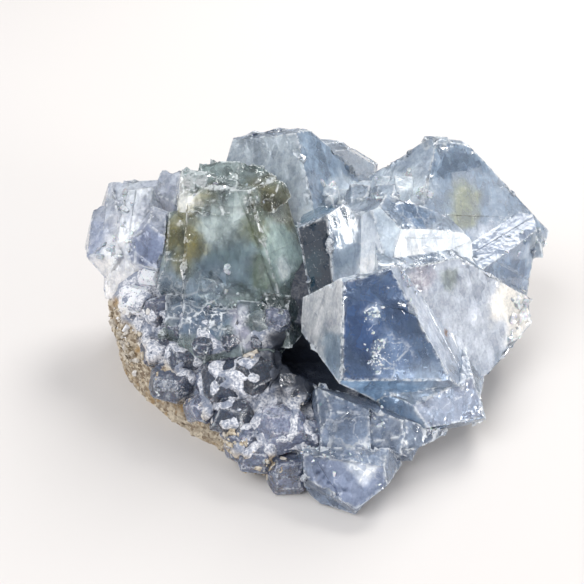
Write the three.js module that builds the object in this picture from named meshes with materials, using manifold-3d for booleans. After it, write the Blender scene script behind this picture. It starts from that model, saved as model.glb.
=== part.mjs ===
// A celestite (strontium sulfate) specimen: large blocky crystals standing on a lump of granular matrix
// rock, with a druse of small crystals between them. Millimetres, +Z up, the front looks along -Y.
import * as THREE from "three";
import { ImprovedNoise } from "three/addons/math/ImprovedNoise.js";
import { mergeVertices } from "three/addons/utils/BufferGeometryUtils.js";
import Module from "manifold-3d";

const wasm = await Module();
wasm.setup();

// ---------------------------------------------------------------- sizes, mm

const CONTACT_GAP = 0.3; // between a crystal and the rock that it sits in
const BLANK = 260; // edge of the cube that every crystal is cut from
const WELD = 1e-4; // corners closer than this are one corner

const ROCK_DETAIL = 11; // each edge of the icosahedron is split this many times
const ROCK_CORNER = 16; // the higher, the sharper the edges between the rock's sides
const ROCK_LUMPS = [
  { height: 1.5, spacing: 15 },
  { height: 0.8, spacing: 6.5 },
];

// ---------------------------------------------------------------- faces and solids

// The direction a face looks in: azimuth 0 is the front and 90 the right side, elevation 90 is up.
function outward(azimuth, elevation) {
  const turn = THREE.MathUtils.degToRad(azimuth);
  const rise = THREE.MathUtils.degToRad(elevation);
  return new THREE.Vector3(
    Math.sin(turn) * Math.cos(rise),
    -Math.cos(turn) * Math.cos(rise),
    Math.sin(rise),
  );
}

function solidOf(geometry) {
  const bare = geometry.clone();
  bare.deleteAttribute("normal");
  bare.deleteAttribute("uv");
  const welded = mergeVertices(bare, WELD);
  return new wasm.Manifold(
    new wasm.Mesh({
      numProp: 3,
      vertProperties: new Float32Array(welded.attributes.position.array),
      triVerts: new Uint32Array(welded.index.array),
    }),
  );
}

// A block cut down to flat faces. Each face is [azimuth, elevation, reach]: it looks that way and lies
// `reach` from the middle. `grow` moves every face out, which gives the socket for a crystal.
function crystal({ at, faces }, grow = 0) {
  const middle = new THREE.Vector3(...at);
  let solid = solidOf(new THREE.BoxGeometry(BLANK, BLANK, BLANK).translate(...at));
  for (const [azimuth, elevation, reach] of Object.values(faces)) {
    const out = outward(azimuth, elevation);
    solid = solid.trimByPlane([-out.x, -out.y, -out.z], -(reach + grow + out.dot(middle)));
  }
  return solid;
}

const grownTogether = (crystals, grow = 0) =>
  Object.values(crystals)
    .map((each) => crystal(each, grow))
    .reduce((whole, next) => whole.add(next));

// ---------------------------------------------------------------- the main group

// Wide wedge-ended blocks that share one root, clockwise from the back.
const MAIN_GROUP = {
  backPeak: {
    at: [-8, 40, 46],
    faces: {
      left: [-32, 30, 12],
      right: [61, 34, 14],
      topLeft: [-125, 74, 12.5],
      topRight: [98, 68, 15],
      shoulder: [136, 32, 11],
      end: [-96, 16, 16],
      topRear: [173, 23, 3],
      rear: [180, -10, 9],
      root: [0, -90, 20],
    },
  },
  behindPeak: {
    at: [9, 45, 44],
    faces: {
      front: [25, 35, 5.5],
      top: [145, 81, 6.5],
      topRight: [112, 55, 5.5],
      end: [77, 0, 8.5],
      left: [-90, 0, 8],
      rear: [180, 0, 5],
      root: [0, -90, 14],
    },
  },
  rightPeak: {
    at: [39, 33, 39],
    faces: {
      front: [36, 34, 10],
      left: [-64, 40, 20],
      top: [100, 72, 17.5],
      farSlope: [121, 39, 12.5],
      tip: [75, -13, 27],
      rearLeft: [-146, 40, 17],
      rearTop: [-168, 32, 12],
      under: [32, -26, 20],
      rear: [180, -10, 12],
      inner: [-90, 0, 24],
      root: [0, -90, 20],
    },
  },
  centreBlock: {
    at: [23, 13, 40],
    faces: {
      front: [34, 18, 9.5],
      frontLeft: [-46, 15, 15],
      sliver: [-10, 33, 14.5],
      roof: [56, 57, 10.5],
      roofRight: [59, 53, 10.5],
      crestRight: [135, 28, 10.5],
      band: [-86, -7, 15.5],
      roofLeft: [-102, 60, 16],
      crest: [170, 32, 6],
      end: [90, 10, 16.5],
      rear: [180, -10, 14],
      root: [0, -90, 20],
    },
  },
  darkPrism: {
    at: [3, 10, 45],
    faces: {
      front: [-34, 12, 7],
      top: [-120, 53, 5.5],
      right: [28, 19, 7.5],
      left: [-90, -11, 7],
      topRear: [145, 43, 6],
      rear: [180, 0, 9],
      root: [0, -90, 20],
    },
  },
  frontBlue: {
    at: [13, -6, 30],
    faces: {
      front: [14, 26, 10.5],
      left: [-60, 14, 13],
      ledge: [-7, 77, 17],
      ledgeRear: [-160, 42, 9.5],
      below: [7, -17, 16],
      right: [72, 34, 13],
      chin: [-58, -40, 16.5],
      leftEnd: [-116, -8, 15.5],
      leftBelow: [-68, -46, 13.5],
      rear: [180, -10, 16],
      root: [0, -90, 20],
    },
  },
  paleRight: {
    at: [32, 6, 23],
    faces: {
      front: [40, 26, 9.5],
      top: [79, 74, 17.5],
      slope: [114, 52, 15.5],
      end: [92, -7, 27],
      endBelow: [56, -32, 20.5],
      below: [17, -30, 18.5],
      seam: [-29, -7, 15.5],
      inner: [-90, 0, 18],
      rear: [180, -10, 16],
      root: [0, -90, 15],
    },
  },
  lip: {
    at: [29, -15, 12],
    faces: {
      top: [22, 40, 6],
      end: [90, 21, 11],
      below: [15, -30, 7.5],
      frontLeft: [-33, 5, 9.5],
      cap: [-10, 80, 6],
      inner: [-90, 0, 14],
      rear: [180, 0, 12],
      root: [0, -90, 6],
    },
  },
  farRight: {
    at: [48, 20, 27],
    faces: {
      front: [40, 12, 6],
      end: [97, -7, 11.5],
      top: [24, 71, 9],
      inner: [-50, 0, 12],
      rear: [180, 0, 10],
      root: [0, -90, 12],
    },
  },
};

// ---------------------------------------------------------------- the green crystal

// The tallest one: a see-through prism with a stepped end and a lobe low on its left.
const GREEN_CRYSTAL = {
  prism: {
    at: [-21, 16, 41],
    faces: {
      front: [-8, 24, 10.5],
      right: [61, 27, 13],
      left: [-80, 9, 13],
      top: [177, 76, 14],
      topRear: [-171, 30, 15.5],
      topLeft: [-64, 50, 16.5],
      topRight: [119, 19, 15.5],
      rearRight: [122, 5, 14],
      below: [108, -15, 17.5],
      rear: [172, -6, 14],
      root: [0, -90, 16],
    },
  },
  lobe: {
    at: [-33, 11, 32],
    faces: {
      front: [-20, 22, 6],
      left: [-80, 20, 7],
      leftBelow: [-75, -30, 8],
      top: [-30, 60, 7.5],
      right: [70, 10, 8],
      rear: [170, 0, 9],
      root: [0, -90, 10],
    },
  },
};

// ---------------------------------------------------------------- the left group

const LEFT_GROUP = {
  top: {
    at: [-50, 31, 38],
    faces: {
      top: [-8, 70, 5],
      front: [-5, 15, 6],
      left: [-78, 20, 7],
      right: [70, 20, 7.5],
      chamferRight: [40, 50, 7],
      chamferLeft: [-50, 50, 6],
      rear: [180, 10, 6],
      root: [0, -90, 12],
    },
  },
  right: {
    at: [-40, 36, 39],
    faces: {
      top: [-30, 58, 4.5],
      right: [60, 30, 5.5],
      front: [-30, 15, 4.5],
      left: [-100, 20, 5],
      rear: [170, 10, 5],
      root: [0, -90, 14],
    },
  },
  left: {
    at: [-55, 24, 32],
    faces: {
      top: [-30, 56, 3.5],
      left: [-80, 18, 6],
      front: [-15, 5, 6],
      right: [80, 10, 4],
      chin: [-60, -30, 7],
      rear: [180, 0, 8],
      root: [0, -90, 9],
    },
  },
  middle: {
    at: [-48, 21, 34],
    faces: {
      top: [-12, 52, 5],
      front: [-5, 14, 5.5],
      right: [70, 15, 5.5],
      left: [-80, 20, 5],
      rear: [180, 0, 8],
      root: [0, -90, 12],
    },
  },
  leaf: {
    at: [-42, 18, 36],
    faces: {
      front: [-28, 34, 4],
      topLeft: [-80, 48, 5.5],
      topRight: [20, 74, 6],
      right: [75, 10, 6.5],
      end: [-86, -4, 7],
      below: [-25, -30, 7],
      rear: [160, 0, 6],
      root: [0, -90, 11],
    },
  },
};

// ---------------------------------------------------------------- the front group

const FRONT_GROUP = {
  foot: {
    at: [8, -34, 6],
    faces: {
      front: [-6, 46, 5],
      top: [8, 80, 6],
      left: [-80, 8, 12],
      belowLeft: [-28, -6, 7.5],
      belowRight: [48, -4, 9],
      right: [66, 34, 9],
      rear: [180, 24, 5],
      root: [0, -90, 5],
    },
  },
  upperLeft: {
    at: [7, -25, 11],
    faces: {
      front: [-6, 40, 4],
      top: [-4, 74, 6],
      left: [-78, 12, 7],
      right: [82, 10, 6],
      topLeft: [-56, 46, 6.5],
      rear: [180, 0, 10],
      root: [0, -90, 10],
    },
  },
  lowerMiddle: {
    at: [15, -25, 9],
    faces: {
      front: [12, 36, 4],
      top: [10, 70, 3.5],
      left: [-80, 10, 6],
      right: [62, 12, 6],
      below: [26, -34, 6],
      rear: [180, 0, 8],
      root: [0, -90, 6],
    },
  },
  upperMiddle: {
    at: [18, -21, 13],
    faces: {
      front: [-2, 34, 4],
      top: [0, 68, 4],
      left: [-80, 10, 6],
      right: [60, 20, 4],
      rear: [180, 0, 8],
      root: [0, -90, 9],
    },
  },
  upperRight: {
    at: [25, -20, 11],
    faces: {
      front: [18, 40, 3.5],
      top: [20, 66, 4],
      left: [-80, 10, 6],
      right: [56, 20, 4.5],
      below: [30, -50, 6],
      rear: [180, 0, 8],
      root: [0, -90, 8],
    },
  },
  rim: {
    at: [24, -20, 8],
    faces: {
      front: [30, 20, 4.5],
      top: [24, 64, 2.5],
      left: [-85, 0, 10],
      right: [66, 5, 8],
      below: [36, -48, 4.5],
      rear: [180, 0, 10],
      root: [0, -90, 5],
    },
  },
};

// ---------------------------------------------------------------- the druse

// Where each small crystal grows out of the rock: [x, y, z, width, height, turn, tilt], degrees last.
const DRUSE = [
  [-33, -6, 18, 9, 9, 20, 44],
  [-36, -11, 13.5, 10, 10, -15, 50],
  [-22, -13, 16, 12, 13, 10, 40],
  [-28, -17, 11, 8, 8, 40, 50],
  [-20, -20, 11, 10, 9, -20, 50],
  [-9, -23, 10, 12, 12, 15, 44],
  [-40, -4, 18, 8, 8, 0, 55],
  [-14, -28, 6, 9, 8, -10, 55],
  [-7, -31, 3.5, 9, 9, 5, 70],
  [-40, 4, 25, 8, 8, 30, 46],
  [-35, 1, 23, 8, 8, -30, 46],
  [-25, -4, 23, 12, 10, 5, 38],
  [-12, -5, 25, 10, 10, -25, 38],
  [-31, -1, 24, 8, 8, 15, 42],
  [-6, -16, 16, 9, 11, -35, 46],
  [-15, -12, 18, 11, 10, 30, 42],
  [-18, -25, 8, 9, 9, 35, 56],
  [-46, 7, 26, 8, 8, -20, 56],
  [-27, -11, 15, 7, 8, 60, 44],
  [-1, -24, 9, 8, 9, -10, 50],
  // round the back
  [-28, 44, 24, 9, 9, 170, 50],
  [-44, 38, 20, 9, 8, 200, 60],
  [-12, 45, 19, 8, 8, 190, 60],
  [12, 45, 14, 10, 9, 175, 66],
  [32, 40, 13, 9, 9, 160, 60],
];

// The habit of a small crystal: the way each face looks, and its reach as a share of half the width.
const HABIT = {
  side: { way: [1, 0, 0], share: 1 },
  tablet: { way: [0, 1, 0], share: 0.8 },
  wedge: { way: [0.77, 0, 0.64], share: 1.02 },
  dome: { way: [0, 0.62, 0.79], share: 0.96 },
  prism: { way: [0.79, 0.61, 0], share: 1.02 },
};

// A direction and its mirror images in the crystal's own planes of symmetry.
function mirrored(way) {
  return way.reduce(
    (ways, length, axis) =>
      length === 0 ? ways : ways.flatMap((each) => [each, each.with(axis, -length)]),
    [way],
  );
}

function smallCrystal([x, y, z, width, height, turn, tilt]) {
  const faces = [
    { way: [0, 0, 1], reach: height / 2 },
    { way: [0, 0, -1], reach: height / 2 },
  ];
  for (const { way, share } of Object.values(HABIT)) {
    for (const each of mirrored(way)) faces.push({ way: each, reach: (share * width) / 2 });
  }
  const lean = THREE.MathUtils.degToRad(tilt);
  const stand = new THREE.Euler(lean, 0, THREE.MathUtils.degToRad(turn), "ZXY");
  const middle = new THREE.Vector3(x, y, z);
  let solid = solidOf(new THREE.BoxGeometry(BLANK, BLANK, BLANK).translate(x, y, z));
  for (const { way, reach } of faces) {
    const out = new THREE.Vector3(...way).normalize().applyEuler(stand);
    solid = solid.trimByPlane([-out.x, -out.y, -out.z], -(reach + out.dot(middle)));
  }
  return solid;
}

// ---------------------------------------------------------------- the matrix rock

const ROCK = {
  at: [-10, 4, 16],
  faces: {
    druse: [-22, 50, 14],
    druseRight: [20, 48, 15],
    frontLeft: [-38, 4, 27],
    left: [-62, -8, 38],
    front: [-12, 8, 29.5],
    farLeft: [-90, 4, 47],
    shoulder: [-62, 50, 32],
    frontRight: [28, 6, 40],
    underRight: [62, -34, 42],
    right: [92, -24, 56],
    top: [0, 88, 19.5],
    rear: [176, 6, 41],
    rearLeft: [-135, 10, 47],
    rearRight: [140, -10, 54],
    under: [0, -90, 24],
  },
};
const STANDS_ON = [0, 0, 1]; // the rock is flat where it stands

// The deep dark hollow between the green crystal and the front of the main group.
const HOLLOW = {
  at: [2, -14, 24],
  faces: {
    front: [0, 40, 12],
    left: [-70, 10, 9],
    right: [70, 10, 8],
    rear: [180, 0, 10],
    floor: [0, -90, 10],
    roof: [0, 90, 12],
  },
};

const noise = new ImprovedNoise();

// How far the rock reaches from its middle along `way`: its sides meet in rounded corners.
function sideReach(sides, way) {
  const nearness = sides.reduce(
    (sum, { out, reach }) => sum + Math.max(0, out.dot(way) / reach) ** ROCK_CORNER,
    0,
  );
  return nearness ** (-1 / ROCK_CORNER);
}

// The rock before the crystals are let in: a ball drawn out to its sides, with swells and dips.
function rockGeometry({ at, faces }) {
  const ball = new THREE.IcosahedronGeometry(1, ROCK_DETAIL);
  ball.deleteAttribute("normal");
  ball.deleteAttribute("uv");
  const geometry = mergeVertices(ball, WELD);
  const sides = Object.values(faces).map(([azimuth, elevation, reach]) => ({
    out: outward(azimuth, elevation),
    reach,
  }));
  const points = geometry.attributes.position;
  const way = new THREE.Vector3();
  for (let i = 0; i < points.count; i += 1) {
    way.fromBufferAttribute(points, i).normalize();
    const radius = sideReach(sides, way);
    const swell = ROCK_LUMPS.reduce((sum, { height, spacing }) => {
      const step = radius / spacing;
      return sum + height * noise.noise(way.x * step, way.y * step, way.z * step);
    }, 0);
    way.multiplyScalar(radius + swell);
    points.setXYZ(i, at[0] + way.x, at[1] + way.y, at[2] + way.z);
  }
  return geometry;
}

// ---------------------------------------------------------------- the object

// The largest of the lumps that a cut leaves: crumbs cut loose are dropped.
const largest = (solid) =>
  solid.decompose().reduce((best, each) => (each.volume() > best.volume() ? each : best));

const sockets = [MAIN_GROUP, GREEN_CRYSTAL, LEFT_GROUP, FRONT_GROUP]
  .map((group) => grownTogether(group, CONTACT_GAP))
  .reduce((whole, next) => whole.add(next));
const mainSocket = grownTogether(MAIN_GROUP, CONTACT_GAP);
const greenSocket = grownTogether(GREEN_CRYSTAL, CONTACT_GAP);

const pieces = {
  matrix_rock: {
    solid: DRUSE.map(smallCrystal)
      .reduce(
        (whole, next) => whole.add(next),
        solidOf(rockGeometry(ROCK)).subtract(crystal(HOLLOW)),
      )
      .subtract(sockets)
      .trimByPlane(STANDS_ON, 0),
    look: { color: 0xb9ad98, roughness: 0.95 },
  },
  main_crystal_group: {
    solid: grownTogether(MAIN_GROUP),
    look: { color: 0x9fb4cb, roughness: 0.15 },
  },
  green_crystal: {
    solid: grownTogether(GREEN_CRYSTAL).subtract(mainSocket),
    look: { color: 0x7d8c84, roughness: 0.12 },
  },
  left_crystal_group: {
    solid: grownTogether(LEFT_GROUP).subtract(greenSocket).subtract(mainSocket),
    look: { color: 0xa9b6cc, roughness: 0.25 },
  },
  front_crystal_group: {
    solid: grownTogether(FRONT_GROUP).subtract(mainSocket),
    look: { color: 0x93a8c6, roughness: 0.2 },
  },
};

function meshOf(name, { solid, look }) {
  const { vertProperties, triVerts } = largest(solid).getMesh();
  const geometry = new THREE.BufferGeometry();
  geometry.setAttribute("position", new THREE.BufferAttribute(vertProperties, 3));
  geometry.setIndex(new THREE.BufferAttribute(triVerts, 1));
  geometry.computeVertexNormals();
  const mesh = new THREE.Mesh(geometry, new THREE.MeshStandardMaterial({ ...look, metalness: 0 }));
  mesh.name = name;
  return mesh;
}

const specimen = new THREE.Group();
specimen.name = "celestite_specimen";
for (const [name, piece] of Object.entries(pieces)) specimen.add(meshOf(name, piece));

// The origin is under the middle of the specimen's box, where it stands.
const box = new THREE.Box3().setFromObject(specimen);
const middle = box.getCenter(new THREE.Vector3());
for (const mesh of specimen.children) mesh.position.set(-middle.x, -middle.y, -box.min.z);

export default specimen;
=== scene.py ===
import math
import random

import bmesh
import bpy
import numpy as np
from mathutils import Euler, Matrix, Vector, kdtree, noise
from mathutils.bvhtree import BVHTree


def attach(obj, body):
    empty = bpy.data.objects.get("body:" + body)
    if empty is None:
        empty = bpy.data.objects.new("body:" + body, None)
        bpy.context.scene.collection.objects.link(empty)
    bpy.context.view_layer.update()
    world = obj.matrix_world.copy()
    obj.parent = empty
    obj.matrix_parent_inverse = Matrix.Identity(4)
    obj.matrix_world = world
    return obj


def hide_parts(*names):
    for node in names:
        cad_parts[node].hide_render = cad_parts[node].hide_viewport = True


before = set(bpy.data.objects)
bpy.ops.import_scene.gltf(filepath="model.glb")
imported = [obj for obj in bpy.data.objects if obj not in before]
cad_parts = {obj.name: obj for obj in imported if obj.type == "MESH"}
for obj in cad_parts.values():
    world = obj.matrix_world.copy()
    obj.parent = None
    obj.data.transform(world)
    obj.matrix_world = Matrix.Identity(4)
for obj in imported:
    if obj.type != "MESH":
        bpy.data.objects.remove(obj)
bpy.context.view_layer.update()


# ---------------------------------------------------------------- matrix rock
# A broken lump of tan granular limestone that the crystals grew on. Its upper and front surface is a rind of
# white sugary celestite grains; the lower left side is bare rock, and the foot is a flat break.

MM = 0.001
COARSE = 1.0
DRAWN_FROM = Vector((0.857, 3.144, 0)) * MM  # places are measured from here, as the crystals were drawn
EYE_ELEVATION = 37  # degrees, how steeply it is looked down on
chance = random.Random(38)

ROCK_FACE = 1.12 * MM * COARSE
ROCK_GRAINS = ((0.55, 2.6), (0.32, 1.1), (0.16, 0.55))  # height and spacing of its grains, mm
PEBBLE_HEIGHT = 0.7  # mm, where the rock is bare
RIND_HEIGHT = 0.85  # mm, how far the rind is drawn up round each small crystal
SOCKET_DEPTH = 1.4  # mm, how far the rock is sunk inside one
# Where the rock is bare: a place on each side, and the way it faces.
LEFT_WALL = ((-46, 2, 19), -60, -28)
LOW_FRONT = ((-24, -22, 6), -30, -50)
BACK = ((-10, 30, 18), 180, 0)
SCATTERED = 55  # how many small crystals grow besides the table's
SCATTERED_WIDTHS = (3.2, 7.2)  # mm
TRIES = 1500
KEPT_CLEAR = (((-3, -11, 18), 13), ((-3, 5, 33), 9))  # gaps that none of them fills: places and reaches


def place(x, y, z):
    return Vector((x, y, z)) * MM - DRAWN_FROM


def facing(azimuth, elevation):
    """The direction that a face looks in: azimuth 0 is the front, 90 the right."""
    turn, rise = math.radians(azimuth), math.radians(elevation)
    return Vector((math.sin(turn) * math.cos(rise), -math.cos(turn) * math.cos(rise), math.sin(rise)))


def solid_copy(node):
    """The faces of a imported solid, welded, with its flat runs of triangles joined."""
    bm = bmesh.new()
    bm.from_mesh(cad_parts[node].data)
    bmesh.ops.remove_doubles(bm, verts=bm.verts, dist=0.02 * MM)
    bmesh.ops.dissolve_limit(bm, angle_limit=math.radians(1), verts=bm.verts, edges=bm.edges)
    return bm


def surface_of(node):
    """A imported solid's surface, to find the nearest point on."""
    bm = bmesh.new()
    bm.from_mesh(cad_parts[node].data)
    tree = BVHTree.FromBMesh(bm)
    bm.free()
    return tree


def refine(bm, longest, behind=1.0):
    """Splits edges longer than that, or than `behind` times that on faces turned to the back."""
    bmesh.ops.triangulate(bm, faces=bm.faces, quad_method="SHORT_EDGE", ngon_method="EAR_CLIP")
    front = facing(0, EYE_ELEVATION)
    for _ in range(8):
        bm.normal_update()
        long = [edge for edge in bm.edges if edge.calc_length() > longest * behind]
        if behind > 1:
            shown = [face for face in bm.faces if face.normal.dot(front) > 0]
            fine = dict.fromkeys(edge for face in shown for edge in face.edges)
            long += [edge for edge in fine if longest < edge.calc_length() <= longest * behind]
        if not long:
            break
        bmesh.ops.subdivide_edges(bm, edges=long, cuts=1)
        wide = [face for face in bm.faces if len(face.verts) > 3]
        bmesh.ops.triangulate(bm, faces=wide, quad_method="SHORT_EDGE", ngon_method="EAR_CLIP")


def points_of(mesh):
    flat = np.empty(len(mesh.vertices) * 3, np.float32)
    mesh.vertices.foreach_get("co", flat)
    return flat.reshape(-1, 3)


def note(mesh, name, values):
    """Keeps a number or a colour for every corner of a mesh, for its finish to read."""
    values = np.array(values, np.float32)
    if values.ndim == 1:
        mesh.attributes.new(name, "FLOAT", "POINT").data.foreach_set("value", values)
    else:
        colours = np.hstack([values, np.ones((len(values), 1), np.float32)])
        mesh.attributes.new(name, "FLOAT_COLOR", "POINT").data.foreach_set("color", colours.ravel())


def piece_from(bm, name, node, slot, **notes):
    """A piece that rides on the specimen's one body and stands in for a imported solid."""
    bmesh.ops.recalc_face_normals(bm, faces=bm.faces)
    mesh = bpy.data.meshes.new(name)
    bm.to_mesh(mesh)
    bm.free()
    for kept, values in notes.items():
        note(mesh, kept, values)
    piece = bpy.data.objects.new(name, mesh)
    bpy.context.scene.collection.objects.link(piece)
    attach(piece, "root")
    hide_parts(node)
    return piece


# The small crystals that grow out of the rock: x, y, z, width and height in mm, turn and tilt in degrees.
DRUSE = [
    (-33, -6, 18, 9, 9, 20, 44),
    (-36, -11, 13.5, 10, 10, -15, 50),
    (-22, -13, 16, 12, 13, 10, 40),
    (-28, -17, 11, 8, 8, 40, 50),
    (-20, -20, 11, 10, 9, -20, 50),
    (-9, -23, 10, 12, 12, 15, 44),
    (-40, -4, 18, 8, 8, 0, 55),
    (-14, -28, 6, 9, 8, -10, 55),
    (-7, -31, 3.5, 9, 9, 5, 70),
    (-40, 4, 25, 8, 8, 30, 46),
    (-35, 1, 23, 8, 8, -30, 46),
    (-6, -16, 16, 9, 11, -35, 46),
    (-15, -12, 18, 11, 10, 30, 42),
    (-18, -25, 8, 9, 9, 35, 56),
    (-46, 7, 26, 8, 8, -20, 56),
    (-27, -11, 15, 7, 8, 60, 44),
    (-1, -24, 9, 8, 9, -10, 50),
    (-28, 44, 24, 9, 9, 170, 50),
    (-44, 38, 20, 9, 8, 200, 60),
    (-12, 45, 19, 8, 8, 190, 60),
    (12, 45, 14, 10, 9, 175, 66),
    (32, 40, 13, 9, 9, 160, 60),
]


def swirl(points, spacing, seed=0):
    """Smooth noise from -1 to 1 at each point, with swells about `spacing` mm apart."""
    shift = Vector((seed * 7.3, seed * 3.1, seed * 5.7))
    return np.array([noise.noise(Vector(point) / (spacing * MM) + shift) for point in points])


def slope(values, low, high):
    """0 below low, 1 above high, and a smooth step between them."""
    share = np.clip((values - low) / (high - low), 0, 1)
    return share * share * (3 - 2 * share)


def side_of(points, at, azimuth, elevation):
    """How far each point lies beyond a plane, in mm."""
    return (points - np.array(place(*at))) @ np.array(facing(azimuth, elevation)) / MM


def bareness(points):
    """1 where the rock is bare and tan, 0 where white crystal grains cover it."""
    wander = swirl(points, 7) * 3 + swirl(points, 2.5, 1) * 1.5
    left_wall = side_of(points, *LEFT_WALL) + wander
    low_front = side_of(points, *LOW_FRONT) + wander
    back = side_of(points, *BACK) + wander
    return np.maximum.reduce([slope(left_wall, -2, 1.5), slope(low_front, -2.5, 1), slope(back, -3, 4) * 0.9])


def scattered_druse():
    """More small crystals, wherever the rind has room between the table's."""
    bm = solid_copy("matrix_rock")
    bmesh.ops.triangulate(bm, faces=bm.faces)
    faces = bm.faces[:]
    covers = [surface_of(node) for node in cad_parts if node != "matrix_rock"]
    centres = [(place(*row[:3]), row[3] / 2) for row in DRUSE]
    rows = []
    for face in chance.choices(faces, [face.calc_area() for face in faces], k=TRIES):
        one, two, three = (vert.co for vert in face.verts)
        along, over = sorted((chance.random(), chance.random()))
        spot = one * along + two * (over - along) + three * (1 - over)
        width = chance.uniform(*SCATTERED_WIDTHS)
        buried = face.normal.z < -0.35 or spot.z < 2.5 * MM
        crowded = any((spot - at).length < (1.05 * reach + 0.35 * width) * MM for at, reach in centres)
        hidden = any(tree.find_nearest(spot)[3] < 0.7 * MM for tree in covers)
        chalk = side_of(np.array([spot]), *LEFT_WALL)[0] > -9 and spot.y < 12 * MM
        in_gap = any((spot - place(*at)).length < reach * MM for at, reach in KEPT_CLEAR)
        if chalk or in_gap or buried or crowded or hidden or bareness(np.array([spot]))[0] > 0.35:
            continue
        middle = spot - face.normal * 0.13 * width * MM + DRAWN_FROM
        turn = math.degrees(math.atan2(face.normal.x, -face.normal.y)) + chance.uniform(-40, 40)
        tilt = 90 - math.degrees(math.asin(face.normal.z)) + chance.uniform(-25, 25)
        rows.append((*(middle / MM), width, width * chance.uniform(0.9, 1.3), turn, tilt))
        centres.append((spot, width / 2))
        if len(rows) == SCATTERED:
            break
    bm.free()
    return rows


def rock_surface():
    """The rock with its rind drawn up between the small crystals, and sunk inside them."""
    bm = solid_copy("matrix_rock")
    refine(bm, ROCK_FACE)
    bmesh.ops.smooth_vert(bm, verts=bm.verts, factor=0.5, use_axis_x=True, use_axis_y=True, use_axis_z=True)
    bm.normal_update()
    stands = kdtree.KDTree(len(DRUSE))
    for at, row in enumerate(DRUSE):
        stands.insert(place(*row[:3]), at)
    stands.balance()
    bare = bareness(np.array([vert.co for vert in bm.verts]))
    for vert, naked in zip(bm.verts, bare):
        if vert.co.z < 0.4 * MM and vert.normal.z < -0.9:
            continue  # the break that it stands on stays flat
        spot = vert.co / MM
        grains = sum(height * noise.noise(spot / spacing) for height, spacing in ROCK_GRAINS)
        swell = grains * (0.6 + 0.9 * naked)
        swell += naked * PEBBLE_HEIGHT * max(0.0, 0.5 - noise.voronoi(spot / 1.5)[0][0]) - naked * 0.2
        for _, at, distance in stands.find_n(vert.co, 2):
            within = distance / (DRUSE[at][3] / 2 * MM)
            rim = max(0.0, 1 - abs(within - 1.2) / 0.45)
            swell += RIND_HEIGHT * rim * (0.5 + 1.3 * noise.noise(spot / 2.6)) * (1 - naked)
            swell -= SOCKET_DEPTH * max(0.0, 1 - within)
        vert.co += vert.normal * swell * MM
        vert.co.z = max(vert.co.z, 0)
    return bm


def rock_notes(mesh):
    """Notes where the rock is bare, and where painted shade darkens it in the hollow and the cleft between
    the big crystals.
    """
    points = points_of(mesh)
    # painted shade: the hollow under the big block and the cleft between the crystals, where the rock is
    # painted dark
    from_hollow = np.linalg.norm((points - np.array(place(-2, -10, 19))) / MM / (13, 11, 12), axis=1)
    from_cleft = np.linalg.norm(points - np.array(place(-3, 4, 34)), axis=1) / MM
    hollow_shade = 1 - slope(from_hollow + 0.2 * swirl(points, 3, 2), 0.8, 1.3)
    cleft_shade = 0.85 * (1 - slope(from_cleft, 8, 11))
    note(mesh, "bare", bareness(points))
    note(mesh, "hollow_shade", np.maximum(hollow_shade, cleft_shade))


DRUSE += scattered_druse()
rock = piece_from(rock_surface(), "matrix_rock_body", "matrix_rock", "matrix")
rock_notes(rock.data)


def hue(code):
    """A screen colour such as 8fa6c4 as Blender's linear red, green and blue."""
    parts = [int(code[at : at + 2], 16) / 255 for at in (0, 2, 4)]
    return tuple(part / 12.92 if part < 0.04045 else ((part + 0.055) / 1.055) ** 2.4 for part in parts)


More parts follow.
